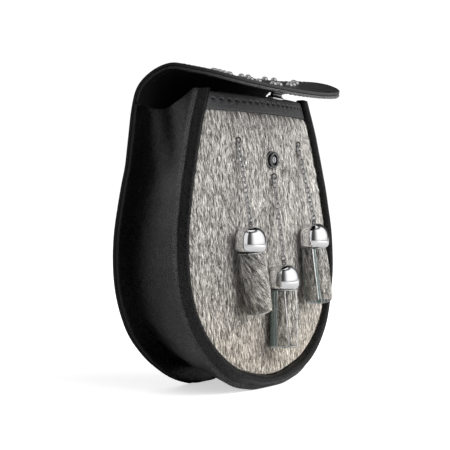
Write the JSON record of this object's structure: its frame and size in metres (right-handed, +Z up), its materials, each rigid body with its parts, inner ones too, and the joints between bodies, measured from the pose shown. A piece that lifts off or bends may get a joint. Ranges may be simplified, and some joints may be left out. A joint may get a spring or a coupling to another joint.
{
  "type": "sporran pouch",
  "caption": "Leather pouch with a bowed grey fur front, rolled rim, soft side gusset, lifted flap, and chained tassels with chrome bell caps.",
  "frame": {"origin": "middle of the whole pouch's footprint box, on the floor that it stands on", "axes": "+Z up, -Y the fur front, +Y the back that lies against the wearer, X across the pouch"},
  "size_m": [0.1806, 0.097, 0.1953],
  "materials": {
    "black_leather": "smooth black, fine grain",
    "lining_leather": "matt black",
    "grey_fur": "short grey fur lying downwards",
    "nickel": "bright plated",
    "chrome": "mirror bright",
    "tassel_hide": "grey hair on hide with pale teal cut edges"
  },
  "bodies": {
    "root": {"back_and_flap": "black_leather", "flap_lining": "lining_leather", "gusset": "black_leather", "fur_front": "grey_fur", "mouth_binding": "black_leather", "snap_stud": "nickel", "snap_socket": "nickel", "strap_loop": "black_leather", "chain_staple_left": "nickel", "chain_left": "nickel", "bell_left": "chrome", "tassel_left": "tassel_hide", "chain_staple_middle": "nickel", "chain_middle": "nickel", "bell_middle": "chrome", "tassel_middle": "tassel_hide", "chain_staple_right": "nickel", "chain_right": "nickel", "bell_right": "chrome", "tassel_right": "tassel_hide", "flap_stud_01": "chrome", "flap_stud_02": "chrome", "flap_stud_03": "chrome", "flap_stud_04": "chrome", "flap_stud_05": "chrome", "flap_stud_06": "chrome", "flap_stud_07": "chrome", "flap_stud_08": "chrome", "flap_stud_09": "chrome", "flap_stud_10": "chrome", "flap_stud_11": "chrome", "flap_stud_12": "chrome", "flap_stud_13": "chrome", "flap_stud_14": "chrome", "flap_stud_15": "chrome", "flap_stud_16": "chrome", "flap_stud_17": "chrome", "flap_stud_18": "chrome"}
  },
  "joints": []
}
